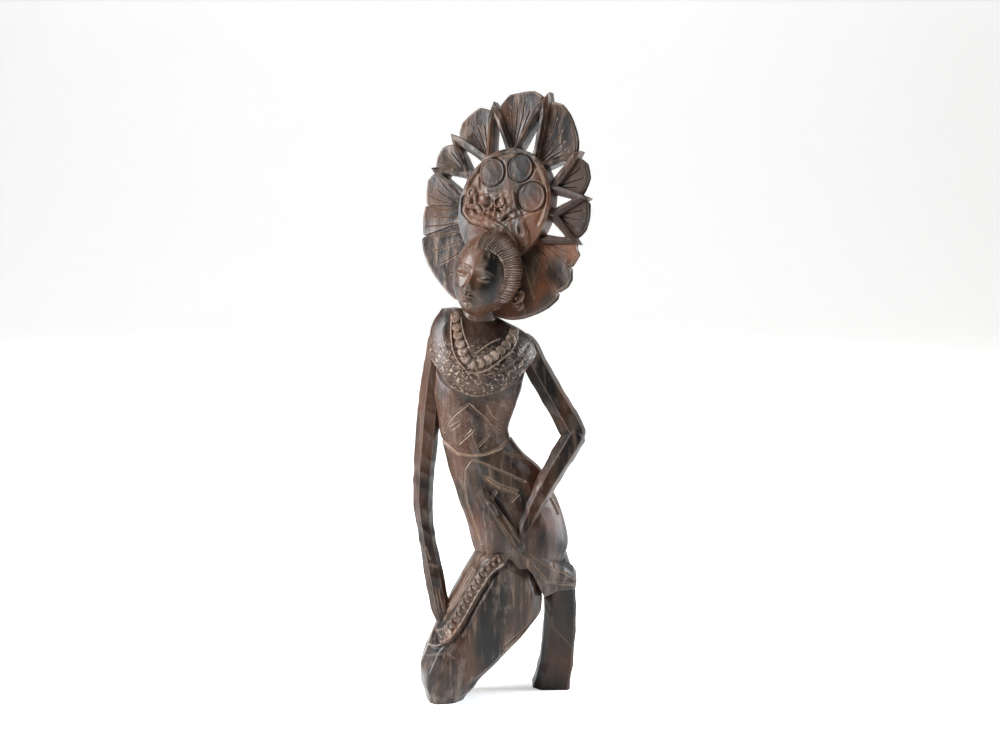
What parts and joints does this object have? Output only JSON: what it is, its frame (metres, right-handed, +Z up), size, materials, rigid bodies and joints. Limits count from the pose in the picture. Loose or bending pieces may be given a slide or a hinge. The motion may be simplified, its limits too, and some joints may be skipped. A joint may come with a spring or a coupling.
{
  "type": "carved wooden figure",
  "caption": "Dark hardwood figure of a kneeling dancer with an oval pierced fan headdress, carved in the round from one billet",
  "frame": {"origin": "middle of the bounding box, on the floor plane", "axes": "+Z up, the figure faces -Y, +X towards her left hand"},
  "size_m": [0.0732, 0.0446, 0.2492],
  "materials": {
    "ebony": "satin"
  },
  "bodies": {
    "root": {"belly": "ebony", "chest": "ebony", "crown_drop_leaf": "ebony", "crown_flower_1": "ebony", "crown_flower_2": "ebony", "crown_flower_3": "ebony", "crown_knob": "ebony", "crown_ring": "ebony", "crown_scroll": "ebony", "crown_shield": "ebony", "crown_slit_leaf": "ebony", "crown_thin_leaf": "ebony", "ear_drop": "ebony", "hair": "ebony", "head": "ebony", "hem_band": "ebony", "hips": "ebony", "left_forearm": "ebony", "left_hand": "ebony", "left_leg": "ebony", "left_upper_arm": "ebony", "neck": "ebony", "necklace": "ebony", "pierced_leaf_1": "ebony", "pierced_leaf_2": "ebony", "pierced_leaf_3": "ebony", "pierced_leaf_4": "ebony", "pierced_leaf_5": "ebony", "pierced_leaf_6": "ebony", "pierced_leaf_7": "ebony", "ribbed_leaf_1": "ebony", "ribbed_leaf_10": "ebony", "ribbed_leaf_11": "ebony", "ribbed_leaf_12": "ebony", "ribbed_leaf_2": "ebony", "ribbed_leaf_3": "ebony", "ribbed_leaf_4": "ebony", "ribbed_leaf_5": "ebony", "ribbed_leaf_6": "ebony", "ribbed_leaf_7": "ebony", "ribbed_leaf_8": "ebony", "ribbed_leaf_9": "ebony", "right_forearm": "ebony", "right_hand": "ebony", "right_shin": "ebony", "right_thigh": "ebony", "right_upper_arm": "ebony", "sash_end": "ebony"}
  },
  "joints": []
}
